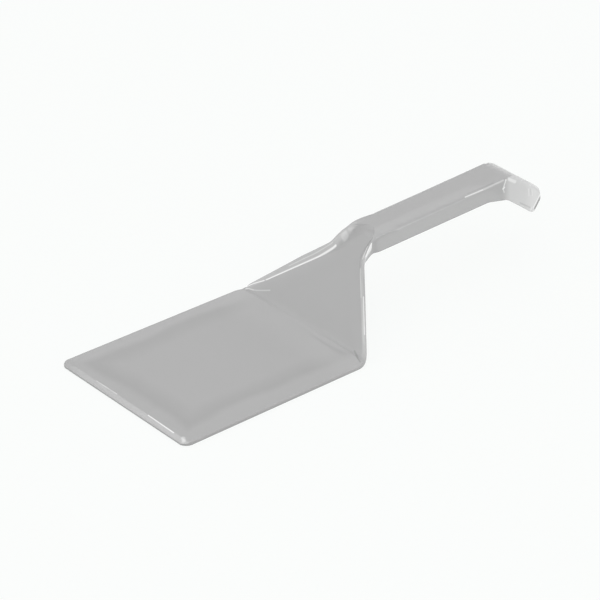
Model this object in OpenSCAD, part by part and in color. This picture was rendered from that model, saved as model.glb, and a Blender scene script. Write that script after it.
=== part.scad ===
// Clear plastic serving spatula: one moulding, drawn as the regions that it is made of.
// A flat blade rises through a recessed neck to a channel handle with a down-turned hook.
// X runs from the blade's front edge to the hook, Y across the blade, Z up from its underside.
// The origin is under the middle of the whole spatula, on the surface that the blade lies on.
// Left is -Y, the left hand side for someone who holds the handle.

/* [Blade] */
// Length of the flat blade, from its front edge to the bend
blade_length = 115; // [95:1:140]
// Width of the blade at its front edge
blade_width = 98.5; // [85:0.5:120]
// How much narrower the blade is at the bend than at its front edge
blade_taper = 1.5; // [0:0.5:8]
// Thickness of the sheet in the middle of the blade
blade_thickness = 2.2; // [1.8:0.1:3]
// Thickness of the sheet along the side edges
edge_thickness = 1.6; // [1.2:0.1:1.8]
// Width of the border that thins towards the edges
border_width = 10.5; // [6:0.5:16]
// Length of the bevel along the front edge
bevel_length = 3.6; // [2:0.2:6]
// Thickness left at the very front of the bevel
lip_thickness = 0.8; // [0.5:0.1:1.2]
// Radius of the two front corners
corner_r = 5.5; // [2:0.5:10]

/* [Neck] */
// Horizontal length of the rise from the blade to the handle
rise_length = 37; // [32:1:50]
// Horizontal length of the wide, tapering part of the rise
panel_length = 29; // [24:0.5:30]
// Height of the handle's top above the surface, where the handle starts
handle_height = 41.7; // [34:0.1:50]
// Width across the rims where the tapering part ends
neck_width = 25.8; // [21:0.2:30]
// Width of each slanted rim beside the panel
rim_width = 3; // [2:0.2:4]
// How far the panel lies below the rims where the tapering part ends
recess_depth = 3.1; // [2:0.1:4]
// Thickness of the sheet in the rise
panel_thickness = 2; // [1.6:0.1:2.6]
// Radius of the rounded end of the recess, on the handle's top
recess_end_r = 13; // [12:0.5:16]

/* [Handle] */
// Length of the handle, from the rise to the fold of the hook
handle_length = 97.5; // [80:0.5:130]
// Width of the handle
handle_width = 20; // [17:0.2:20.4]
// Upward tilt of the handle, in degrees
handle_tilt = 1.7; // [0:0.1:5]
// Depth of the handle's side walls, from its top
wall_depth = 9.1; // [6:0.1:11]
// Thickness of the handle's top
top_thickness = 2.2; // [1.8:0.1:3]
// Thickness of the side walls
wall_thickness = 1.9; // [1.5:0.1:2.4]
// Radius of the long edges between the top and the side walls
ridge_r = 1.5; // [0.6:0.1:1.7]

/* [Hook] */
// Angle of the hook below the horizontal, in degrees
hook_angle = 37.5; // [25:0.5:50]
// Length of the hook along its top
hook_length = 28; // [22:0.5:36]
// Depth of the hook's side walls
hook_depth = 13; // [10:0.5:15]
// Length of handle over which its side walls deepen towards the hook
flare_length = 18; // [8:0.5:24]
// Where the hook's walls reach their full depth, from the fold
flare_end = 4.5; // [3:0.5:10]

/* [Hidden] */
$fn = 64;

reach = 400;      // longer than the spatula in every direction
past_root = 6;    // stretch of handle that belongs to the collar

front_half = blade_width / 2;
rear_half = (blade_width - blade_taper) / 2;
neck_half = neck_width / 2;
handle_half = handle_width / 2;
channel_half = handle_half - wall_thickness;

bend_x = blade_length;
kink_x = bend_x + panel_length;
root_x = bend_x + rise_length;
collar_end_x = root_x + past_root;
fold = [root_x + handle_length, handle_height + handle_length * tan(handle_tilt)];
hook_dir = [cos(hook_angle), -sin(hook_angle)];
hook_down = [-sin(hook_angle), -cos(hook_angle)];
hook_tip = fold + hook_length * hook_dir;
total_length = hook_tip[0];

// Heights along the rise: the rims' outer edges, the panel's upper face, the handle's top
rim_slope = (handle_height - edge_thickness) / rise_length;
function rim_z(x) = edge_thickness + (x - bend_x) * rim_slope;
panel_slope = (rim_z(kink_x) - recess_depth - blade_thickness) / panel_length;
function panel_z(x) = blade_thickness + (x - bend_x) * panel_slope;
function handle_z(x) = handle_height + (x - root_x) * tan(handle_tilt);

// Vertical thickness of the sloping sheets
panel_drop = panel_thickness / cos(atan(panel_slope));
top_drop = top_thickness / cos(handle_tilt);
wall_drop = wall_depth / cos(handle_tilt);

// Half widths inside the rims, at the bend and where the tapering part ends
crease_half = rear_half - rim_width;
neck_crease_half = neck_half - rim_width;

// How far behind the top's bend the sheet's underside bends
bend_back = blade_thickness * tan(atan(panel_slope) / 2);

// The plane between the handle and the hook, through the fold, in the middle of their angle
mitre_angle = (hook_angle - handle_tilt) / 2;
mitre_dir = [-sin(mitre_angle), -cos(mitre_angle)];

// ---------- Shared helpers ----------

// A side view, drawn as X and Z, made into a body of the given width
module side_body(width) {
    rotate([90, 0, 0]) linear_extrude(width, center = true) children();
}

// A view from above, drawn as X and Y, made into a tall body
module plan_body() {
    translate([0, 0, -1]) linear_extrude(reach) children();
}

// A cross-section, drawn as Y and height, run along a sloping line from a point [x, z]
module run_section(start, angle, length) {
    translate([start[0], 0, start[1]]) rotate([0, -angle, 0])
        rotate([90, 0, 90]) linear_extrude(length) children();
}

// Moves the front edge from X = 0 to its place ahead of the origin
module centred() {
    translate([-total_length / 2, 0, 0]) children();
}

// ---------- Blade ----------

side_angle = atan((front_half - rear_half) / blade_length);
corner_y = front_half - corner_r * (1 + sin(side_angle)) / cos(side_angle);

// One long side of the blade's outline, with its rounded front corner
function blade_side(side) = concat(
    [for (step = [0:12]) let (turn = 90 - (90 - side_angle) * step / 12)
        [corner_r * (1 - sin(turn)), side * (corner_y + corner_r * cos(turn))]],
    [[bend_x, side * rear_half], [bend_x + rise_length, side * rear_half]]
);

module blade_plan() {
    left = blade_side(-1);
    right = blade_side(1);
    polygon(concat(right, [for (i = [len(left) - 1:-1:0]) left[i]]));
}

// What is taken off the top along one side, so that the border thins towards the edge
module side_thinning() {
    thinning = (blade_thickness - edge_thickness) / border_width;
    translate([0, front_half, 0]) rotate([0, 0, -side_angle]) rotate([90, 0, 90])
        translate([0, 0, -1]) linear_extrude(blade_length * 1.02)
            polygon([[-border_width, blade_thickness], [1, edge_thickness - thinning],
                     [1, 2 * blade_thickness], [-border_width, 2 * blade_thickness]]);
}

// What is taken off the top along the front: the border first, then the steeper bevel
module front_thinning() {
    side_body(reach) polygon([
        [-1, lip_thickness - (edge_thickness - lip_thickness) / bevel_length],
        [bevel_length, edge_thickness], [border_width + bevel_length, blade_thickness],
        [border_width + bevel_length, 2 * blade_thickness], [-1, 2 * blade_thickness]
    ]);
}

module blade() {
    color([0.74, 0.75, 0.75, 0.6]) centred() difference() {
        intersection() {
            plan_body() blade_plan();
            side_body(reach) polygon([
                [0, 0], [bend_x + bend_back, 0], [bend_x, blade_thickness], [0, blade_thickness]
            ]);
        }
        front_thinning();
        side_thinning();
        mirror([0, 1, 0]) side_thinning();
    }
}

// ---------- Neck ----------

// The tapering panel, sunk between the two rims
module neck_panel() {
    under_z = panel_z(kink_x) - panel_drop;
    color([0.72, 0.73, 0.73, 0.6]) centred() intersection() {
        side_body(reach) polygon([
            [bend_x, blade_thickness], [bend_x + bend_back, 0], [kink_x, under_z],
            [kink_x, panel_z(kink_x)]
        ]);
        plan_body() polygon([
            [bend_x, -crease_half], [bend_x, crease_half],
            [kink_x, neck_crease_half], [kink_x, -neck_crease_half]
        ]);
    }
}

// Everything under the plane through three points, each lower than the block's height
module below_plane(a, b, c) {
    raw = cross(b - a, c - a);
    normal = raw[2] > 0 ? raw : -raw;
    translate(a) rotate([0, acos(normal[2] / norm(normal)), atan2(normal[1], normal[0])])
        translate([-reach, -reach, -2 * reach]) cube(2 * reach);
}

// A slanted rim: its outer edge stands above the panel, and the height grows up the rise
module rim() {
    outer_start = [bend_x, rear_half, edge_thickness];
    outer_end = [kink_x, neck_half, rim_z(kink_x)];
    inner_end = [kink_x, neck_crease_half, panel_z(kink_x)];
    drop = [0, 0, panel_drop];
    centred() difference() {
        intersection() {
            plan_body() polygon([
                [bend_x, crease_half], [bend_x, rear_half],
                [kink_x, neck_half], [kink_x, neck_crease_half]
            ]);
            below_plane(outer_start, outer_end, inner_end);
            translate([bend_x - 1, 0, 0]) cube(reach);
        }
        below_plane(outer_start - drop, outer_end - drop, inner_end - drop);
    }
}

module right_rim() {
    color([0.82, 0.83, 0.83, 0.6]) rim();
}

module left_rim() {
    color([0.82, 0.83, 0.83, 0.6]) mirror([0, 1, 0]) rim();
}

// The short collar, where the rims turn into the handle's edges and the side walls start
module neck_collar() {
    wall_foot = [root_x + 1, handle_half, handle_z(root_x + 1) - wall_drop];
    rim_foot = [kink_x, neck_half, rim_z(kink_x) - panel_drop];
    panel_foot = [kink_x, neck_crease_half, panel_z(kink_x) - panel_drop];
    color([0.78, 0.79, 0.79, 0.6]) centred() difference() {
        intersection() {
            side_body(reach) polygon([
                [kink_x, panel_foot[2]], [kink_x, rim_z(kink_x)], [root_x, handle_height],
                [collar_end_x, handle_z(collar_end_x)],
                [collar_end_x, handle_z(collar_end_x) - wall_drop], [wall_foot[0], wall_foot[2]]
            ]);
            plan_body() polygon([
                [kink_x, -neck_half], [kink_x, neck_half], [root_x, handle_half],
                [collar_end_x, handle_half], [collar_end_x, -handle_half], [root_x, -handle_half]
            ]);
        }
        recess();
        collar_hollow();
        below_plane(rim_foot, panel_foot, wall_foot);
        mirror([0, 1, 0]) below_plane(rim_foot, panel_foot, wall_foot);
    }
}

// The recess above the panel: its sides slant like the rims, and its end on the handle's top
// is round
module recess() {
    end_x = bend_x + (handle_height - blade_thickness) / panel_slope;
    rim_top = [kink_x, neck_half, rim_z(kink_x)];
    rim_bottom = [kink_x, neck_crease_half, panel_z(kink_x)];
    edge_root = [root_x, handle_half, handle_height];
    difference() {
        translate([end_x - recess_end_r, 0, 0]) cylinder(h = reach, r = recess_end_r);
        side_body(reach) polygon([
            [bend_x, 0], [bend_x, panel_z(bend_x)], [root_x + reach, panel_z(root_x + reach)],
            [root_x + reach, 0]
        ]);
        below_plane(rim_top, rim_bottom, edge_root);
        mirror([0, 1, 0]) below_plane(rim_top, rim_bottom, edge_root);
    }
}

// The channel under the collar, below both the panel's sheet and the handle's top
module collar_hollow() {
    meet_x = bend_x + (handle_height - top_drop - blade_thickness + panel_drop) / panel_slope;
    intersection() {
        side_body(2 * channel_half) polygon([
            [kink_x - 1, panel_z(kink_x - 1) - panel_drop], [meet_x, handle_z(meet_x) - top_drop],
            [collar_end_x + 1, handle_z(collar_end_x + 1) - top_drop],
            [collar_end_x + 1, 0], [kink_x - 1, 0]
        ]);
        translate([kink_x - 1, -reach / 2, 0]) cube(reach);
    }
}

// ---------- Handle ----------

// Cross-section of the top sheet, with its two long edges rounded
module top_section() {
    steps = [0:15:90];
    right_arc = [for (a = steps) [handle_half - ridge_r + ridge_r * sin(a), ridge_r * (cos(a) - 1)]];
    left_arc = [for (a = steps) [-right_arc[6 - a / 15][0], right_arc[6 - a / 15][1]]];
    polygon(concat([[-handle_half, -top_thickness]], left_arc, right_arc,
                   [[handle_half, -top_thickness]]));
}

// Side views of the handle and of the hook, each ending at the plane between them
module handle_side() {
    far = fold + 40 * mitre_dir;
    polygon([
        [collar_end_x, handle_z(collar_end_x) + 1], fold - 1 * mitre_dir, far, [collar_end_x, far[1]]
    ]);
}

module hook_side() {
    far = fold + 40 * mitre_dir;
    polygon([
        fold - 1 * mitre_dir, hook_tip - 1 * hook_down, hook_tip + 40 * hook_down, far
    ]);
}

// Side view of the walls under the top sheet, from the collar to the hook's end
module wall_side() {
    flare_x = fold[0] - flare_length;
    top_fold = fold + top_thickness / cos(mitre_angle) * mitre_dir;
    polygon([
        [collar_end_x, handle_z(collar_end_x) - top_drop], top_fold,
        hook_tip + top_thickness * hook_down, hook_tip + hook_depth * hook_down,
        fold + flare_end * hook_dir + hook_depth * hook_down,
        [flare_x, handle_z(flare_x) - wall_drop],
        [collar_end_x, handle_z(collar_end_x) - wall_drop]
    ]);
}

module wall_sheet(side) {
    translate([0, side * (handle_half - wall_thickness / 2), 0])
        side_body(wall_thickness) children();
}

module handle_top() {
    start_x = root_x - 10;
    color([0.76, 0.77, 0.77, 0.6]) centred() intersection() {
        run_section([start_x, handle_z(start_x)], handle_tilt, handle_length + 30) top_section();
        side_body(reach) handle_side();
    }
}

module handle_wall(side) {
    color([0.7, 0.71, 0.71, 0.6]) centred() wall_sheet(side) intersection() {
        wall_side();
        handle_side();
    }
}

module left_handle_wall() {
    handle_wall(-1);
}

module right_handle_wall() {
    handle_wall(1);
}

// ---------- Hook ----------

module hook_top() {
    start = fold - 10 * hook_dir;
    color([0.86, 0.87, 0.87, 0.6]) centred() intersection() {
        run_section(start, -hook_angle, hook_length + 10) top_section();
        side_body(reach) hook_side();
    }
}

// The walls stop short of the end wall, which closes the channel between and behind them
module hook_wall(side) {
    color([0.84, 0.85, 0.85, 0.6]) centred() wall_sheet(side) difference() {
        intersection() {
            wall_side();
            hook_side();
        }
        end_wall_side();
    }
}

module end_wall_side() {
    inside = hook_tip - wall_thickness * hook_dir;
    polygon([
        inside + top_thickness * hook_down, hook_tip + top_thickness * hook_down,
        hook_tip + hook_depth * hook_down, inside + hook_depth * hook_down
    ]);
}

module left_hook_wall() {
    hook_wall(-1);
}

module right_hook_wall() {
    hook_wall(1);
}

module hook_end_wall() {
    color([0.88, 0.89, 0.89, 0.6]) centred() side_body(handle_width) end_wall_side();
}

blade();
neck_panel();
left_rim();
right_rim();
neck_collar();
handle_top();
left_handle_wall();
right_handle_wall();
hook_top();
left_hook_wall();
right_hook_wall();
hook_end_wall();
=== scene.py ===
"""Clear plastic serving spatula: one moulded shell, with its floor, lights and camera.

The shell is one closed mesh, lofted through cross-sections from the blade's front edge to the
hook's end. It stands for all the CAD regions, because the real thing is a single moulding.
Lengths are in millimetres from the blade's front edge, and to_frame() turns them into metres.
"""

import math

import bpy
import numpy as np
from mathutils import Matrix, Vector


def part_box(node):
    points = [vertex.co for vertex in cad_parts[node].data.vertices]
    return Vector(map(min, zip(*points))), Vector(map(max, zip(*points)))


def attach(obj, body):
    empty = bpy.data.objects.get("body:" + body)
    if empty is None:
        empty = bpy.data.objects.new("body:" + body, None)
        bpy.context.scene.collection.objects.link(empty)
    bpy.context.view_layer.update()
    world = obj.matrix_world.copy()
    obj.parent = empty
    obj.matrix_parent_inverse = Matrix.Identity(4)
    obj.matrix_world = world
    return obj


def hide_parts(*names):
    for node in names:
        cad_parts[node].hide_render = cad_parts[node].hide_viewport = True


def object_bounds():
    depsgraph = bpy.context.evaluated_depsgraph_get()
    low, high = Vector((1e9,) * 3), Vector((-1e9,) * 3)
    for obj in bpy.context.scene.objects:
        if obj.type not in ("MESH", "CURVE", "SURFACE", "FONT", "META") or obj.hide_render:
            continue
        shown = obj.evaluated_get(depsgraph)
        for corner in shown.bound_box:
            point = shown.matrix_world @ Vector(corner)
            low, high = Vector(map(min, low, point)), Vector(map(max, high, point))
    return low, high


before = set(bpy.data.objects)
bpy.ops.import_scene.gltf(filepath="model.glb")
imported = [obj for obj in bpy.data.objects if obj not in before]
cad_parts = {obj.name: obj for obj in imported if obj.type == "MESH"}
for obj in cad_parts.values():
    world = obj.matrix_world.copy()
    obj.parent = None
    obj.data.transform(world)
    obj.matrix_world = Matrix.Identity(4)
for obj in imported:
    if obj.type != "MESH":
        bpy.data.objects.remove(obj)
cad_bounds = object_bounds()

MM = 0.001


# ---------- Sizes ----------

FRONT_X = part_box("blade")[0][0] / MM


def node_box(name):
    """A CAD node's lowest and highest corners, in mm, with X from the blade's front edge."""
    low, high = (np.array(corner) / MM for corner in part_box(name))
    return low - [FRONT_X, 0, 0], high - [FRONT_X, 0, 0]


BLADE = node_box("blade")
PANEL = node_box("neck_panel")
RIM = node_box("right_rim")
COLLAR = node_box("neck_collar")
HANDLE_TOP = node_box("handle_top")
HANDLE_WALL = node_box("right_handle_wall")
END_WALL = node_box("hook_end_wall")

# How far the photo's outline stands outside the CAD model's
BLADE_GROWTH = 0.25
HANDLE_GROWTH = 0.2
FOLD_GROWTH = 0.3

# The CAD model's own sizes that the boxes don't give. The photo moved three of them by less than
# a millimetre: CORNER_R, WALL_DEPTH and HOOK_DEPTH.
RISE_LENGTH = 37
CORNER_R = 4.8
LIP = 0.8
EDGE = 1.6
BEVEL = 3.6
BORDER = 10.5
RIM_WIDTH = 3.0
TILT = math.radians(1.7)
TOP_SHEET = 2.2
WALL_DEPTH = 9.4
FLARE = 18.0
HOOK_ANGLE = math.radians(37.5)
HOOK_DEPTH = 13.4
DEEP_FROM = 4.5

# Sizes that only this model has
LIP_R = 0.3
RIM_FLAT = 1.4
PANEL_DROP = 2.8                           # straight down through the sloping panel
WALL_GROWTH = 0.3                          # how much deeper the walls are where the flare starts
FOOT_PINCH = 0.9
HOOK_OVERRUN = 2.6                         # past the CAD tip, before END_TOP_R rounds the end off

BEND_X = PANEL[0][0]
KINK_X = PANEL[1][0]
ROOT_X = BEND_X + RISE_LENGTH
TIP_X = END_WALL[1][0]
BLADE_TOP = BLADE[1][2]
KINK_RIM_Z = RIM[1][2]
KINK_PANEL_Z = PANEL[1][2]
WIDEST_HALF = BLADE[1][1] + BLADE_GROWTH
REAR_HALF = RIM[1][1] + BLADE_GROWTH
KINK_HALF = COLLAR[1][1]
HANDLE_HALF = HANDLE_WALL[1][1] + HANDLE_GROWTH
CHANNEL_HALF = HANDLE_WALL[0][1]
WALL = HANDLE_HALF - CHANNEL_HALF
FOLD = np.array([HANDLE_TOP[1][0], HANDLE_TOP[1][2] + FOLD_GROWTH])

HOOK_LENGTH = (TIP_X - FOLD[0]) / math.cos(HOOK_ANGLE) + HOOK_OVERRUN
HOOK_DIR = np.array([math.cos(HOOK_ANGLE), -math.sin(HOOK_ANGLE)])
HOOK_DOWN = np.array([-math.sin(HOOK_ANGLE), -math.cos(HOOK_ANGLE)])


def handle_z(x):
    """Height of the handle's top."""
    return FOLD[1] - (FOLD[0] - x) * math.tan(TILT)


def to_frame(points):
    """Points in mm from the front edge, as the frame's metres."""
    return (np.asarray(points) + [FRONT_X, 0, 0]) * MM


# ---------- Lines that the cross-sections follow ----------

def rises(x, start, length):
    """0 up to start, 1 from a length past it, and an S-shaped rise between them."""
    t = min(max((x - start) / length, 0.0), 1.0)
    return t * t * (3 - 2 * t)


def mix(a, b, share):
    """From one value or point to the other with the share."""
    return np.asarray(a) * (1 - share) + np.asarray(b) * share


def rounding(depth, radius):
    """How far a rounded edge stands back, at a depth from the face that it meets."""
    if depth >= radius:
        return 0.0
    return radius - math.sqrt(max(radius ** 2 - (radius - depth) ** 2, 0.0))


def guide(*points):
    """A line through (x, value, radius) points, straight between them and round at each one."""
    arcs = []
    for before, here, after in zip(points, points[1:], points[2:]):
        turn_in = math.atan2(here[1] - before[1], here[0] - before[0])
        turn_out = math.atan2(after[1] - here[1], after[0] - here[0])
        reach = here[2] * math.tan(abs(turn_out - turn_in) / 2)
        side = 1 if turn_out > turn_in else -1
        start = (here[0] - reach * math.cos(turn_in), here[1] - reach * math.sin(turn_in))
        centre = (start[0] - side * here[2] * math.sin(turn_in),
                  start[1] + side * here[2] * math.cos(turn_in))
        arcs.append((start[0], here[0] + reach * math.cos(turn_out), centre, here[2], side))

    def value(x):
        for start_x, end_x, centre, radius, side in arcs:
            if start_x < x < end_x:
                return centre[1] - side * math.sqrt(radius ** 2 - (x - centre[0]) ** 2)
        k = sum(x > p[0] for p in points[1:-1])
        (x0, v0, _), (x1, v1, _) = points[k], points[k + 1]
        return v0 + (x - x0) * (v1 - v0) / (x1 - x0)

    return value


# The panel's top meets the handle's top, and its underside meets the channel's ceiling, a few mm
# past the handle's root, so the handle's height is read there.
PANEL_SLOPE = (KINK_PANEL_Z - BLADE_TOP) / (KINK_X - BEND_X)
MEET_Z = handle_z(ROOT_X + 4)
MEET_CEILING_Z = handle_z(ROOT_X + 5) - TOP_SHEET
PANEL_MEET_X = BEND_X + (MEET_Z - BLADE_TOP) / PANEL_SLOPE
CEILING_MEET_X = BEND_X + (MEET_CEILING_Z - BLADE_TOP + PANEL_DROP) / PANEL_SLOPE
UNDER_BEND_X = BEND_X + BLADE_TOP * math.tan(math.atan(PANEL_SLOPE) / 2)
RECESS_END_X = PANEL_MEET_X + 3.5
FLARE_X = FOLD[0] - FLARE

# The rims rise along a slightly convex line, with its crest between the bend and the root
RIM_SLOPE = (handle_z(ROOT_X) - EDGE) / (ROOT_X - BEND_X)
CREST_FROM_BEND = 20
CREST_RISE = 1.1
RIM_CREST = (BEND_X + CREST_FROM_BEND, EDGE + CREST_FROM_BEND * RIM_SLOPE + CREST_RISE)

# Half widths: of the whole outline, and of the crease where a rim meets the panel's underside
outline = guide((CORNER_R, WIDEST_HALF, 0), (BEND_X, REAR_HALF, 12), (KINK_X, KINK_HALF, 5),
                (ROOT_X, HANDLE_HALF, 9), (FOLD[0], HANDLE_HALF, 0))
crease_line = guide((0, WIDEST_HALF - RIM_WIDTH, 0), (BEND_X, REAR_HALF - RIM_WIDTH, 5),
                    (KINK_X, KINK_HALF - RIM_WIDTH, 5), (ROOT_X, CHANNEL_HALF, 6),
                    (FOLD[0], CHANNEL_HALF, 0))
# Heights: of the rims' ridge, the panel's top, its underside and the outer edge of the underside
rim_line = guide((0, EDGE, 0), (BEND_X, EDGE, 4), (*RIM_CREST, 30),
                 (ROOT_X, handle_z(ROOT_X), 18), (FOLD[0], FOLD[1], 0))
panel_line = guide((0, LIP, 0), (BEVEL, EDGE, 3), (BEVEL + BORDER, BLADE_TOP, 40),
                   (BEND_X, BLADE_TOP, 9), (PANEL_MEET_X, handle_z(PANEL_MEET_X), 10),
                   (FOLD[0], FOLD[1], 0))
ceiling_line = guide((0, 0, 0), (UNDER_BEND_X, 0, 11),
                     (CEILING_MEET_X, handle_z(CEILING_MEET_X) - TOP_SHEET, 1.5),
                     (FOLD[0], FOLD[1] - TOP_SHEET, 0))
foot_line = guide((0, 0, 0), (UNDER_BEND_X, 0, 12), (KINK_X, KINK_RIM_Z - PANEL_DROP, 6),
                  (ROOT_X + 1, handle_z(ROOT_X + 1) - WALL_DEPTH, 8),
                  (FLARE_X, handle_z(FLARE_X) - WALL_DEPTH - WALL_GROWTH, 0), (FOLD[0], 0, 0))

# Half widths on the plain handle of the lines that are the border, crease and brink further ahead
PLAIN = (3.2, 4.8, 6.2)
RECESS_TIP_HALF = 1.2
RECESS_BLUNTNESS = 1.7
SETTLE = 12.0                              # from the recess's end to the plain handle


def brink_half(x):
    """Half width of the recess at the handle's height: tapering, then closing to a blunt point."""
    close_x = ROOT_X - 1
    if x <= close_x:
        return outline(x) - RIM_FLAT
    if x < RECESS_END_X:
        along = (x - close_x) / (RECESS_END_X - close_x)
        opening = outline(close_x) - RIM_FLAT - RECESS_TIP_HALF
        return RECESS_TIP_HALF + opening * (1 - along ** RECESS_BLUNTNESS)
    return mix(RECESS_TIP_HALF, PLAIN[2], rises(x, RECESS_END_X, SETTLE))


# ---------- Cross-sections ----------
# Half a section has 9 corners, from the middle of the top, round the outside, to the middle of
# the underside: top, border, crease, brink, ridge, foot outside, foot inside, ceiling corner,
# ceiling. Each inner corner is rounded over its own cut, a length along both sides of it.

TOP_CORNERS = 5
CREASE_SLANT = 0.9                         # inward lean of the recess's sides, per mm of depth


def inner_cuts(crease, ridge, foot):
    """Cuts of the seven inner corners. Four of them are the same all along."""
    return [2.5, crease, 0.5, ridge, foot, 0.3, 0.9]


def border_z(x, inset):
    """Height of the blade's top, which thins towards its edges, or of the neck's panel."""
    if x >= BEND_X:
        return panel_line(x)
    return min(panel_line(x), EDGE + (BLADE_TOP - EDGE) * inset / BORDER)


def top_corners(x, half, on_neck, past_recess):
    """Middle, border, crease, brink and ridge, as (y, z)."""
    panel_z = panel_line(x)
    rim_z = min(rim_line(x), panel_z) if x < BEND_X else rim_line(x)
    past_kink = rises(x, KINK_X - 7, 9)

    ridge = np.array([half, rim_z])
    crease = np.array([half - RIM_WIDTH, mix(border_z(x, RIM_WIDTH), panel_z, on_neck)])
    brink = mix(ridge, crease, 0.4)
    if x < BEND_X:
        brink[1] = border_z(x, half - brink[0])

    recess_y = brink_half(x)
    slanted_y = recess_y - CREASE_SLANT * max(rim_z - panel_z, 0.0)
    if x > RECESS_END_X:
        slanted_y = mix(RECESS_TIP_HALF - 0.2, PLAIN[1], past_recess)
    brink = mix(brink, (recess_y, rim_z), past_kink)
    crease = mix(crease, (slanted_y, min(panel_z, rim_z)), past_kink)

    if x > RECESS_END_X:
        border = np.array([mix(0.7 * crease[0], PLAIN[0], past_recess), rim_z])
    else:
        border_y = max(half - BORDER, 0.7 * crease[0])
        border = np.array([border_y, border_z(x, half - border_y)])
    middle_z = panel_z if x < RECESS_END_X else min(panel_z, rim_z)
    return [(0.0, middle_z), border, crease, brink, ridge]


def under_corners(x, half, lip):
    """Outside and inside of the foot, and corner and middle of the ceiling, as (y, z)."""
    foot = np.array([half, foot_line(x) + lip])
    corner = np.array([crease_line(x) - (outline(x) - half), ceiling_line(x) + lip])
    has_wall = rises(x, KINK_X - 2, ROOT_X - KINK_X + 3)
    inner = mix(mix(foot, corner, 0.45), (half - WALL, foot[1]), has_wall)
    foot[0] -= FOOT_PINCH * rises(x, KINK_X - 1, 4) * (1 - rises(x, ROOT_X + 0.5, 5))
    return [foot, inner, corner, (0.0, corner[1])]


def upright_section(x):
    """Corners and cuts of the section across the blade, neck or handle, at x."""
    half = outline(x) - rounding(x, CORNER_R)
    lip = rounding(x, LIP_R)
    on_neck = rises(x, BEND_X - 3, 10)
    past_recess = rises(x, RECESS_END_X, SETTLE)
    rows = top_corners(x, half, on_neck, past_recess) + under_corners(x, half, lip)
    corners = np.array([(x, y, z) for y, z in rows])
    corners[:TOP_CORNERS, 2] -= lip
    ridge_cut = 0.35 + 0.25 * on_neck + 1.7 * past_recess * (1 - 0.5 * rises(x, ROOT_X, 90))
    return corners, inner_cuts(1.2 - 0.4 * on_neck, ridge_cut, 0.3 + 0.1 * on_neck)


def route(stops):
    """A path in XZ past (distance, point, cut) stops, rounded at the inner ones."""
    def position(distance):
        for before, here, after in zip(stops, stops[1:], stops[2:]):
            offset = (distance - here[0]) / here[2]
            if abs(offset) < 1:
                towards = (np.asarray(before[1]) - here[1]) / (here[0] - before[0])
                onwards = (np.asarray(after[1]) - here[1]) / (after[0] - here[0])
                t = (offset + 1) / 2
                return here[1] + here[2] * ((1 - t) ** 2 * towards + t ** 2 * onwards)
        k = sum(distance > s[0] for s in stops[1:-1])
        (d0, p0, _), (d1, p1, _) = stops[k], stops[k + 1]
        return mix(p0, p1, (distance - d0) / (d1 - d0))

    return position


# Along the flare and the hook, the sections follow a distance along the top
HOOK_END = FLARE + HOOK_LENGTH
HOOK_FULL = FLARE + DEEP_FROM
MITRE = (HOOK_ANGLE - TILT) / 2
FOLD_INSIDE = FOLD - TOP_SHEET / math.cos(MITRE) * np.array([math.sin(MITRE), math.cos(MITRE)])
TIP = FOLD + HOOK_LENGTH * HOOK_DIR
FLARE_START = np.array([FLARE_X, handle_z(FLARE_X)])
FLARE_FOOT = FLARE_START - [0, WALL_DEPTH + WALL_GROWTH]
FOLD_CUT = 5.5
LEAD_IN = 4                                # where the foot's path starts, before the flare
END_TOP_R = 8.8
END_SIDE_R = 1.3
END_FOOT_R = 3.4
CLOSING = 0.5                              # length over which the end wall closes the channel
CLOSED_INSET = 1.3                         # keeps the closed channel's two corners apart

hook_top = route([(0, FLARE_START, 0), (FLARE, FOLD, FOLD_CUT), (HOOK_END, TIP, 0)])
hook_ceiling = route([(0, FLARE_START - [0, TOP_SHEET], 0), (FLARE, FOLD_INSIDE, FOLD_CUT - 0.7),
                      (HOOK_END, TIP + TOP_SHEET * HOOK_DOWN, 0)])
hook_foot = route([(-LEAD_IN, FLARE_FOOT - [LEAD_IN, LEAD_IN * math.tan(TILT)], 0),
                   (0, FLARE_FOOT, 2.5),
                   (HOOK_FULL, FOLD + DEEP_FROM * HOOK_DIR + HOOK_DEPTH * HOOK_DOWN, 3.0),
                   (HOOK_END, TIP + HOOK_DEPTH * HOOK_DOWN, 0)])


def hook_section(distance):
    """Corners and cuts of the section at a distance along the top from where the walls deepen."""
    left = HOOK_END - distance
    half = HANDLE_HALF - rounding(left, END_SIDE_R)
    channel = CHANNEL_HALF - rounding(left, END_SIDE_R)
    top = hook_top(distance) + rounding(left, END_TOP_R) * HOOK_DOWN
    foot = hook_foot(distance) - rounding(left, END_FOOT_R) * HOOK_DOWN
    closed = rises(distance, HOOK_END - WALL - CLOSING, CLOSING)
    ceiling = mix(hook_ceiling(distance), foot, closed)
    rows = [(y, top) for y in (0.0, *PLAIN, half)]
    rows += [(half, foot), (channel, foot), (channel - CLOSED_INSET * closed, ceiling),
             (0.0, ceiling)]
    corners = np.array([(p[0], y, p[1]) for y, p in rows])
    ridge_cut = 1.2 + 0.25 * (1 - rises(distance, 0, FLARE))
    return corners, inner_cuts(1.0, ridge_cut, 0.4)


def spread(*spans):
    """Places along the spatula: (start, end, step) spans, one after another."""
    places = []
    for start, end, step in spans:
        count = max(round((end - start) / step), 1)
        places += [start + (end - start) * i / count for i in range(count)]
    return places


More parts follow.
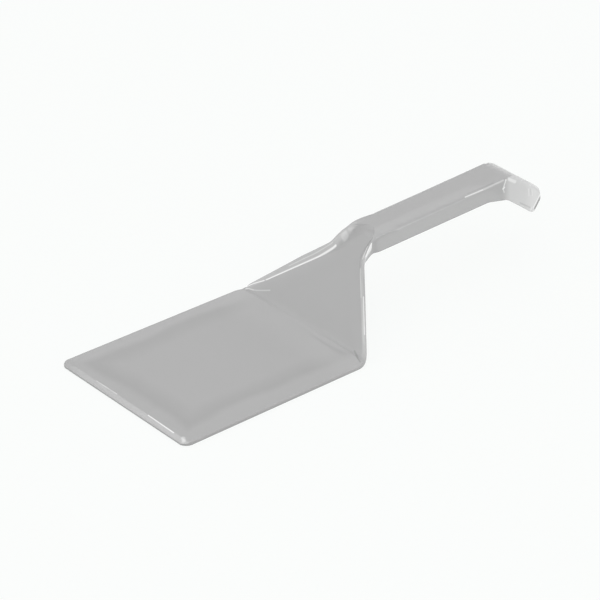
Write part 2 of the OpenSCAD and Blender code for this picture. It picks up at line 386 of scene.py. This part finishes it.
def upright_places():
    """The X of each upright section, closest where the shape turns most."""
    lip = [LIP_R * (1 - math.cos(math.radians(a))) for a in range(0, 90, 15)]
    front = [CORNER_R * (1 - math.cos(math.radians(a))) for a in range(20, 90, 5)]
    return lip + front + spread(
        (CORNER_R, 16, 0.7), (16, BEND_X - 8, 3.0), (BEND_X - 8, BEND_X + 9, 0.45),
        (BEND_X + 9, KINK_X - 8, 0.8), (KINK_X - 8, ROOT_X - 1.5, 0.35),
        (ROOT_X - 1.5, RECESS_END_X - 1, 0.2), (RECESS_END_X - 1, RECESS_END_X + 1.2, 0.11),
        (RECESS_END_X + 1.2, RECESS_END_X + SETTLE, 0.6),
        (RECESS_END_X + SETTLE, FLARE_X - 3, 1.5), (FLARE_X - 3, FLARE_X, 0.6))


def hook_places():
    """The distance of each section along the flare and the hook."""
    plain = spread((0, FLARE - 6, 0.6), (FLARE - 6, FLARE + 6, 0.3),
                   (FLARE + 6, HOOK_END - END_TOP_R, 0.8))
    wall = [HOOK_END - WALL - CLOSING * (1 - i / 5) for i in range(6)]
    end = [HOOK_END - END_TOP_R * (1 - math.sin(math.radians(a))) for a in range(0, 91, 4)]
    return sorted(set(round(d, 4) for d in plain + wall + end))


# ---------- The mesh ----------

ARC = 5                                    # points on each rounded corner, an odd number
TOP_RUNS = (14, 3, 2, 3)                   # points between corners, on the top
SIDE_RUN = 5
UNDER_RUNS = (2, 4, sum(TOP_RUNS) + ARC - 2 - 4)   # as many points in all as on the top
# Where the top ends and the side starts, in a half loop: the middle of the ridge's arc
TOP_COUNT = sum(TOP_RUNS) + 3 * ARC + (ARC + 1) // 2
SIDE_COUNT = SIDE_RUN + ARC - 1


def rounded_corner(before, here, after, cut):
    """Points on a round corner, tangent to both sides."""
    into, out = here - before, after - here
    length_in, length_out = np.linalg.norm(into), np.linalg.norm(out)
    cut = min(cut, 0.45 * length_in, 0.45 * length_out)
    into, out = into / length_in, out / length_out
    weight = math.sqrt(max((1 + float(into @ out)) / 2, 0.0))
    points = []
    for t in np.linspace(0, 1, ARC):
        a, b, c = (1 - t) ** 2, 2 * weight * t * (1 - t), t ** 2
        points.append((a * (here - cut * into) + b * here + c * (here + cut * out)) / (a + b + c))
    return points


def half_loop(corners, cuts):
    """A half section as points, from the middle of the top to the middle of the underside."""
    runs = TOP_RUNS + (SIDE_RUN,) + UNDER_RUNS
    points = [corners[0]]
    for k, run in enumerate(runs):
        last = k == len(runs) - 1
        arc = [corners[-1]] if last else rounded_corner(*corners[k:k + 3], cuts[k])
        start = points[-1]
        points += [mix(start, arc[0], (i + 1) / (run + 1)) for i in range(run)]
        points += arc
    return np.array(points)


def shell_grid():
    """Every section as a closed loop of points, all with the same count."""
    sections = [upright_section(x) for x in upright_places()]
    sections += [hook_section(d) for d in hook_places()]
    loops = []
    for corners, cuts in sections:
        right = half_loop(corners, cuts)
        left = right[-2:0:-1] * [1, -1, 1]
        loops.append(np.vstack([right, left]))
    return np.array(loops)


def cap_faces(loop, first, vertices):
    """Closes an end with a grid between the top's points and the underside's."""
    n = len(loop)
    under = TOP_COUNT + SIDE_COUNT + 1
    top = [(TOP_COUNT - i) % n for i in range(2 * TOP_COUNT + 1)]
    bottom = [(under + i) % n for i in range(2 * TOP_COUNT + 1)]
    rows = [[first + i for i in top]]
    for r in range(1, SIDE_COUNT + 1):
        share = r / (SIDE_COUNT + 1)
        row = [first + (TOP_COUNT + r) % n]
        for c in range(1, 2 * TOP_COUNT):
            row.append(len(vertices))
            vertices.append(mix(loop[top[c]], loop[bottom[c]], share))
        row.append(first + (n - TOP_COUNT - r) % n)
        rows.append(row)
    rows.append([first + i for i in bottom])
    return [(a[c], b[c], b[c + 1], a[c + 1]) for a, b in zip(rows, rows[1:])
            for c in range(2 * TOP_COUNT)]


def shell_mesh():
    """The closed mesh, with each vertex's distance in from the outline in the attribute inset."""
    loops = shell_grid()
    count, n = loops.shape[:2]
    vertices = [point for loop in loops for point in loop]
    faces = [(s * n + i, (s + 1) * n + i, (s + 1) * n + (i + 1) % n, s * n + (i + 1) % n)
             for s in range(count - 1) for i in range(n)]
    faces += cap_faces(loops[0], 0, vertices)
    faces += [face[::-1] for face in cap_faces(loops[-1], (count - 1) * n, vertices)]
    mesh = bpy.data.meshes.new("spatula_shell")
    mesh.from_pydata([tuple(p) for p in to_frame(vertices)], [], faces)
    mesh.validate()
    mesh.update()
    inset = mesh.attributes.new("inset", "FLOAT", "POINT")
    inset.data.foreach_set("value", [min(x, outline(x) - abs(y)) for x, y, _ in vertices])
    return mesh


def make_shell():
    """The whole spatula as one smooth object."""
    mesh = shell_mesh()
    shell = bpy.data.objects.new("spatula_shell", mesh)
    bpy.context.collection.objects.link(shell)
    for polygon in mesh.polygons:
        polygon.use_smooth = True
    weighted = shell.modifiers.new("face_weighted_normals", "WEIGHTED_NORMAL")
    weighted.weight = 80
    mesh.materials.append(clear_plastic())
    return shell


# ---------- Materials ----------

class Nodes:
    """Short calls for building one material's node tree."""

    def __init__(self, name):
        self.material = bpy.data.materials.new(name)
        self.material.use_nodes = True
        self.tree = self.material.node_tree
        self.shader = self.tree.nodes["Principled BSDF"]

    def add(self, kind, links=(), **values):
        """A new node, with its properties set and each socket linked or given a value."""
        node = self.tree.nodes.new(kind)
        for key, value in values.items():
            setattr(node, key, value)
        for socket, source in dict(links).items():
            if isinstance(source, bpy.types.NodeSocket):
                self.tree.links.new(source, node.inputs[socket])
            else:
                node.inputs[socket].default_value = source
        return node

    def link(self, source, socket):
        """Drives one of the shader's sockets."""
        self.tree.links.new(source, self.shader.inputs[socket])


def grey(value):
    """An opaque grey."""
    return (value, value, value, 1)


def ramp(n, value, start, end, top=1.0):
    """0 at start and top at end, with a smooth rise."""
    node = n.add("ShaderNodeMapRange", {"Value": value, "From Min": start, "From Max": end,
                                        "To Max": top}, interpolation_type="SMOOTHSTEP")
    return node.outputs["Result"]


def combine(n, operation, a, b):
    """One step of arithmetic on two values or sockets."""
    return n.add("ShaderNodeMath", {0: a, 1: b}, operation=operation).outputs[0]


def times_plus(n, value, factor, offset):
    """The value times a factor, plus an offset."""
    node = n.add("ShaderNodeMath", {0: value, 1: factor, 2: offset}, operation="MULTIPLY_ADD")
    return node.outputs[0]


def times(n, a, b):
    """The product of two values or sockets."""
    return combine(n, "MULTIPLY", a, b)


def largest(n, *values):
    """The largest of some values or sockets."""
    total = values[0]
    for value in values[1:]:
        total = combine(n, "MAXIMUM", total, value)
    return total


def blend(n, share, below, above):
    """A colour that goes from one to the other with the share."""
    return n.add("ShaderNodeMix", {0: share, 6: below, 7: above}, data_type="RGBA").outputs[2]


def plane(n, across, up):
    """Two coordinates, and the 1 that lets a dot product add a constant, for streaks()."""
    return n.add("ShaderNodeCombineXYZ", {"X": across, "Y": up, "Z": 1.0}).outputs["Vector"]


def streak(n, place, start, end, half_width, strength):
    """A soft line between two points of a plane, brightest along its middle."""
    start, end = np.array(start, float), np.array(end, float)
    length = float(np.linalg.norm(end - start))
    ahead = (end - start) / length
    side = np.array([-ahead[1], ahead[0]])
    distances = []
    for axis, origin in ((ahead, (start + end) / 2), (side, start)):
        line = (axis[0], axis[1], -float(axis @ origin))
        dot = n.add("ShaderNodeVectorMath", {0: place, 1: line}, operation="DOT_PRODUCT")
        distances.append(combine(n, "ABSOLUTE", dot.outputs["Value"], 0.0))
    beyond = largest(n, combine(n, "SUBTRACT", distances[0], length / 2), 0.0)
    apart = n.add("ShaderNodeCombineXYZ", {"X": beyond, "Y": distances[1]})
    reach = n.add("ShaderNodeVectorMath", {0: apart.outputs["Vector"]}, operation="LENGTH")
    return ramp(n, reach.outputs["Value"], half_width, 0.25 * half_width, strength)


def streaks(n, place, lines):
    """All the soft lines of a table, the brightest on top."""
    return largest(n, *(streak(n, place, *line) for line in lines))


# Greys of the regions. The ring's grey is painted shade; the border's, rims', walls' and hook's
# paler greys are painted light;
# the last two are the greys of the painted shade lines and the painted highlight lines
BLADE_TONE = 0.392
PAINTED_RING_SHADE = 0.36
BORDER_PAINTED_LIGHT_TONE = 0.405
PANEL_TONE = 0.438
RIM_PAINTED_LIGHT_TONE = 0.55
HANDLE_TONE = 0.43
WALL_PAINTED_LIGHT_TONE = 0.465
HOOK_PAINTED_LIGHT_TONE = 0.67
HOOK_END_PAINTED_LIGHT_TONE = 0.76
SHADE_TONE = 0.12
GLINT_TONE = 0.98

# Where one grey goes over into the next: along X, or in from the outline
BORDER_INSET = (13.0, 7.0)
RING_INSET = (12.0, 24.0)
WALL_INSET = (0.5, 0.1)
RIM_INSET = (4.2, 2.2)
PANEL_FROM = (BEND_X - 28, BEND_X + 2)
PANEL_SHARE = 0.9
RIM_FROM = (BEND_X - 1, BEND_X + 4)
RIM_UNTIL = (ROOT_X + 10, ROOT_X)
NEAR_RIM_SHORTER = 10                      # how much sooner the near rim's pale grey ends
WALL_FROM = (KINK_X, ROOT_X)
HANDLE_FROM = (KINK_X, ROOT_X + 8)
HOOK_FROM = (240, 247)
HOOK_LEAN = (5, 1.5)                       # slope of the hook's start, up to a distance in
HOOK_END_FROM = (256, 264)
NEAR_SIDE = (1.0, -1.0)                    # in Y
SIDE_WALLS = (8.5, 8.9)                    # from the middle

# Painted highlight lines and painted shade lines in the base colour, standing for the light that
# the thick corners bend towards the eye and the dark beside it, as lines in mm:
# (start, end, half width, strength).
# On the rims and the handle's ridges they lie at (x, distance in from the outline).
FAR_GLINTS = (
    ((BEND_X + 1.0, 0.7), (BEND_X + 6, 2.9), 0.55, 1.0),
    ((BEND_X + 7, 3.1), (KINK_X + 0.5, 3.1), 0.60, 1.0),
    ((BEND_X + 15, 1.5), (KINK_X, 1.5), 0.30, 0.35),
)
NEAR_GLINTS = (
    ((BEND_X + 8, 1.4), (BEND_X + 18.5, 1.4), 0.60, 1.0),
    ((BEND_X + 19, 3.1), (KINK_X - 2, 3.1), 0.55, 0.4),
    ((BEND_X + 6, 1.7), (KINK_X - 1, 1.7), 1.80, 0.12),
    ((KINK_X + 0.5, 1.7), (ROOT_X - 3, 1.7), 0.45, 1.0),
    ((KINK_X + 1.5, 0.1), (ROOT_X - 1, 0.2), 0.45, 1.0),
    ((215.0, 0.6), (227.0, 0.4), 0.34, 0.75),
    ((227.0, 0.4), (241.5, 0.4), 0.40, 0.35),
)
NEAR_SHADES = (((218.0, 1.9), (235.0, 1.3), 0.60, 0.16),)
# On the blade's front and its rear corners they lie at (x, y).
FLAT_GLINTS = (
    ((3.3, 24.0), (3.5, 8.0), 0.40, 0.35),
    ((3.3, -17.0), (3.0, -37.0), 0.45, 0.75),
    ((3.6, -43.5), (2.2, -46.0), 1.40, 0.35),
    ((115.0, 45.6), (116.0, 40.5), 0.45, 0.45),
    ((116.0, 40.5), (119.2, 31.2), 0.45, 0.25),
)
FLAT_SHADES = (((116.0, -38.0), (113.1, -45.7), 0.60, 0.3),)
# On the sides of the handle's end and of the hook they lie at (x, z).
SIDE_GLINTS = (
    ((243.0, 43.9), (241.6, 40.6), 0.55, 0.8),
    ((241.9, 39.9), (241.2, 39.5), 0.90, 0.9),
    ((241.4, 38.8), (242.0, 37.0), 0.45, 0.6),
    ((245.2, 43.6), (249.6, 40.6), 1.30, 0.65),
    ((259.5, 33.0), (260.0, 28.7), 0.40, 0.5),
    ((262.0, 31.6), (262.6, 27.8), 0.35, 0.4),
    ((267.9, 26.6), (263.6, 20.9), 0.60, 1.0),
    ((262.4, 20.9), (261.6, 18.9), 0.60, 0.6),
)
SIDE_SHADES = (
    ((269.3, 26.4), (264.6, 19.8), 0.60, 0.8),
    ((253.5, 27.0), (261.0, 21.6), 0.50, 0.25),
    ((261.0, 32.5), (261.4, 29.0), 0.30, 0.25),
)


def region_grey_and_painted_light(n, place, x, near, inset):
    """Grey of the regions: even, with a painted shade ring inside the blade's border and painted
    light on the border, the rims, the handle's walls and the hook.
    """
    flow = n.add("ShaderNodeTexNoise", {"Vector": place, "Scale": 14.0, "Detail": 3.0,
                                        "Roughness": 0.5}).outputs["Fac"]
    # Painted shade: a darker ring inside the blade's border, its edge wobbled by noise.
    inwards = combine(n, "ADD", inset, times_plus(n, flow, 16.0, -8.0))
    tone = blend(n, ramp(n, inwards, *RING_INSET), grey(PAINTED_RING_SHADE), grey(BLADE_TONE))
    # Painted light: a paler band along the blade's border, outside the ring.
    tone = blend(n, ramp(n, inwards, *BORDER_INSET), tone, grey(BORDER_PAINTED_LIGHT_TONE))
    tone = blend(n, ramp(n, x, *PANEL_FROM, PANEL_SHARE), tone, grey(PANEL_TONE))
    tone = blend(n, ramp(n, x, *HANDLE_FROM), tone, grey(HANDLE_TONE))

    # Painted light: the handle's side walls paler.
    wall = times(n, ramp(n, inset, *WALL_INSET), ramp(n, x, *WALL_FROM))
    tone = blend(n, wall, tone, grey(WALL_PAINTED_LIGHT_TONE))
    # Painted light: the rims up the rise paler, the near rim's paler grey ending sooner.
    x_rim = combine(n, "ADD", x, times(n, near, NEAR_RIM_SHORTER))
    on_rise = times(n, ramp(n, x, *RIM_FROM), ramp(n, x_rim, *RIM_UNTIL))
    tone = blend(n, times(n, ramp(n, inset, *RIM_INSET), on_rise), tone, grey(RIM_PAINTED_LIGHT_TONE))

    # Painted light: the hook paler from its fold on, and its end paler still.
    lean, lean_end = HOOK_LEAN
    leaning = times(n, combine(n, "MINIMUM", inset, lean_end), lean)
    x_hook = combine(n, "SUBTRACT", x, leaning)
    tone = blend(n, ramp(n, x_hook, *HOOK_FROM), tone, grey(HOOK_PAINTED_LIGHT_TONE))
    return blend(n, ramp(n, x, *HOOK_END_FROM), tone, grey(HOOK_END_PAINTED_LIGHT_TONE))


def plastic_tone_and_painted_light(n, place):
    """Grey of the plastic, with painted shade lines and painted highlight lines where its thick
    corners bend the light.
    """
    axes = n.add("ShaderNodeSeparateXYZ", {"Vector": place}).outputs
    x = times_plus(n, axes["X"], 1 / MM, -FRONT_X)
    y = times(n, axes["Y"], 1 / MM)
    z = times(n, axes["Z"], 1 / MM)
    inset = n.add("ShaderNodeAttribute", attribute_name="inset").outputs["Fac"]
    near = ramp(n, y, *NEAR_SIDE)
    far = combine(n, "SUBTRACT", 1.0, near)
    on_side = ramp(n, combine(n, "ABSOLUTE", y, 0.0), *SIDE_WALLS)
    over, above, beside = plane(n, x, inset), plane(n, x, y), plane(n, x, z)

    # Painted shade lines and painted highlight lines, each table on its own side of the spatula.
    shades = largest(n, times(n, near, streaks(n, over, NEAR_SHADES)),
                     times(n, on_side, streaks(n, beside, SIDE_SHADES)),
                     streaks(n, above, FLAT_SHADES))
    glints = largest(n, times(n, far, streaks(n, over, FAR_GLINTS)),
                     times(n, near, streaks(n, over, NEAR_GLINTS)),
                     times(n, on_side, streaks(n, beside, SIDE_GLINTS)),
                     streaks(n, above, FLAT_GLINTS))
    tone = region_grey_and_painted_light(n, place, x, near, inset)
    # The painted shade lines, then the painted highlight lines, go over the grey.
    tone = blend(n, shades, tone, grey(SHADE_TONE))
    return blend(n, glints, tone, grey(GLINT_TONE))


def clear_plastic():
    """Smoky clear plastic: glossy and partly see-through, with faint flow marks and scratches."""
    n = Nodes("clear_plastic")
    place = n.add("ShaderNodeTexCoord").outputs["Object"]
    # The base colour carries painted highlights and painted shade as well as the plastic's grey.
    n.link(plastic_tone_and_painted_light(n, place), "Base Color")

    stretched = n.add("ShaderNodeMapping", {"Vector": place, "Scale": (60.0, 1400.0, 900.0),
                                            "Rotation": (0.0, 0.0, 0.35)})
    scratches = n.add("ShaderNodeTexNoise", {"Vector": stretched.outputs["Vector"], "Scale": 1.0,
                                             "Detail": 2.0})
    gloss = n.add("ShaderNodeMapRange", {"Value": scratches.outputs["Fac"], "From Min": 0.35,
                                         "From Max": 0.75, "To Min": 0.05, "To Max": 0.11})
    n.link(gloss.outputs["Result"], "Roughness")

    ripple = n.add("ShaderNodeTexNoise", {"Vector": place, "Scale": 45.0, "Detail": 1.0})
    waves = n.add("ShaderNodeBump", {"Height": ripple.outputs["Fac"], "Strength": 0.035,
                                     "Distance": 0.0006})
    fine = n.add("ShaderNodeBump", {"Height": scratches.outputs["Fac"], "Strength": 0.02,
                                    "Distance": 0.0001, "Normal": waves.outputs["Normal"]})
    n.link(fine.outputs["Normal"], "Normal")
    n.shader.inputs["IOR"].default_value = 1.5
    n.shader.inputs["Transmission Weight"].default_value = 0.35
    return n.material


def pale_floor():
    """A white floor that glows softly, like a light table, so that it hardly takes a shadow."""
    n = Nodes("pale_floor")
    place = n.add("ShaderNodeTexCoord").outputs["Object"]
    grain = n.add("ShaderNodeTexNoise", {"Vector": place, "Scale": 300.0, "Detail": 2.0})
    tone = n.add("ShaderNodeValToRGB", {"Fac": grain.outputs["Fac"]})
    tone.color_ramp.elements[0].color = (0.97, 0.985, 0.975, 1)
    tone.color_ramp.elements[1].color = (0.98, 0.995, 0.985, 1)
    n.link(tone.outputs["Color"], "Emission Color")
    n.shader.inputs["Emission Strength"].default_value = 0.91
    n.shader.inputs["Base Color"].default_value = grey(0.06)
    n.shader.inputs["Roughness"].default_value = 0.9
    n.shader.inputs["Specular IOR Level"].default_value = 0.0
    return n.material


# ---------- Floor, lights and camera ----------

FLOOR_HALF = 12.0                          # metres
FLOOR_GAP = 0.0002

# Name, direction from the object, distance and size in metres, brightness. Each one stands where
# one kind of edge mirrors it towards the camera.
LIGHTS = (
    ("on_the_far_crease", (-0.668, 0.094, 0.738), 1.6, 0.12, 8.0),
    ("on_the_far_rim", (-0.55, -0.57, 0.62), 1.6, 0.7, 2.5),
    ("on_the_fold", (0.712, 0.66, 0.24), 1.6, 0.14, 5.0),
    ("on_the_walls", (0.45, -0.86, 0.24), 1.6, 0.9, 1.5),
)
# The last one is a narrow beam onto the bevel at the blade's front
BEVEL_LIGHT = ("on_the_front_bevel", (0.016, 0.642, 0.766), 0.554, 0.17, 0.02)
BEVEL_SPREAD = math.radians(18)
BEVEL_SPOT = (2, -20, 1)
WORLD_STRENGTH = 1.2

CAMERA_AZIMUTH = math.radians(-40.126)
CAMERA_ELEVATION = math.radians(30.247)
CAMERA_DISTANCE = 1.673                    # metres
CAMERA_TARGET = (117.85, 5.89, 12.3)
CAMERA_LENS = 200.0
CAMERA_SENSOR = 36.0


def make_floor():
    """A wide square just below the spatula."""
    mesh = bpy.data.meshes.new("floor")
    level = cad_bounds[0][2] - FLOOR_GAP
    corners = ((-1, -1), (1, -1), (1, 1), (-1, 1))
    mesh.from_pydata([(x * FLOOR_HALF, y * FLOOR_HALF, level) for x, y in corners],
                     [], [(0, 1, 2, 3)])
    floor = bpy.data.objects.new("floor", mesh)
    bpy.context.collection.objects.link(floor)
    mesh.materials.append(pale_floor())
    return floor


def face_away(thing, direction):
    """Turns a light or a camera so that its back is towards a direction."""
    thing.rotation_euler = direction.to_track_quat("Z", "Y").to_euler()


def soft_light(name, direction, distance, size, radiance):
    """A round area light that faces the object, from a direction seen from it."""
    data = bpy.data.lights.new(name, "AREA")
    data.shape = "DISK"
    data.size = size
    data.energy = radiance * math.pi * math.pi * (size / 2) ** 2
    light = bpy.data.objects.new(name, data)
    away = Vector(direction).normalized()
    light.location = away * distance
    face_away(light, away)
    bpy.context.collection.objects.link(light)
    return light


def light_the_studio():
    """An even white world, and a light for each bright edge."""
    world = bpy.data.worlds.new("studio")
    bpy.context.scene.world = world
    world.use_nodes = True
    background = world.node_tree.nodes["Background"]
    background.inputs["Color"].default_value = grey(1.0)
    background.inputs["Strength"].default_value = WORLD_STRENGTH
    for light in LIGHTS:
        soft_light(*light)
    bevel = soft_light(*BEVEL_LIGHT)
    bevel.data.spread = BEVEL_SPREAD
    face_away(bevel, bevel.location - Vector(to_frame(BEVEL_SPOT)))


def aim_camera():
    """A long lens looking down at the blade's front left corner."""
    flat = math.cos(CAMERA_ELEVATION)
    back = Vector((math.sin(CAMERA_AZIMUTH) * flat, -math.cos(CAMERA_AZIMUTH) * flat,
                   math.sin(CAMERA_ELEVATION)))
    data = bpy.data.cameras.new("camera")
    data.sensor_width = CAMERA_SENSOR
    data.lens = CAMERA_LENS
    camera = bpy.data.objects.new("camera", data)
    camera.location = Vector(to_frame(CAMERA_TARGET)) + CAMERA_DISTANCE * back
    face_away(camera, back)
    bpy.context.collection.objects.link(camera)
    bpy.context.scene.camera = camera


shell = make_shell()
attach(shell, "root")
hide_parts("blade", "neck_panel", "left_rim", "right_rim", "neck_collar", "handle_top",
            "left_handle_wall", "right_handle_wall", "hook_top", "left_hook_wall",
            "right_hook_wall", "hook_end_wall")
floor = make_floor()
light_the_studio()
aim_camera()
bpy.context.scene.view_settings.view_transform = "Standard"
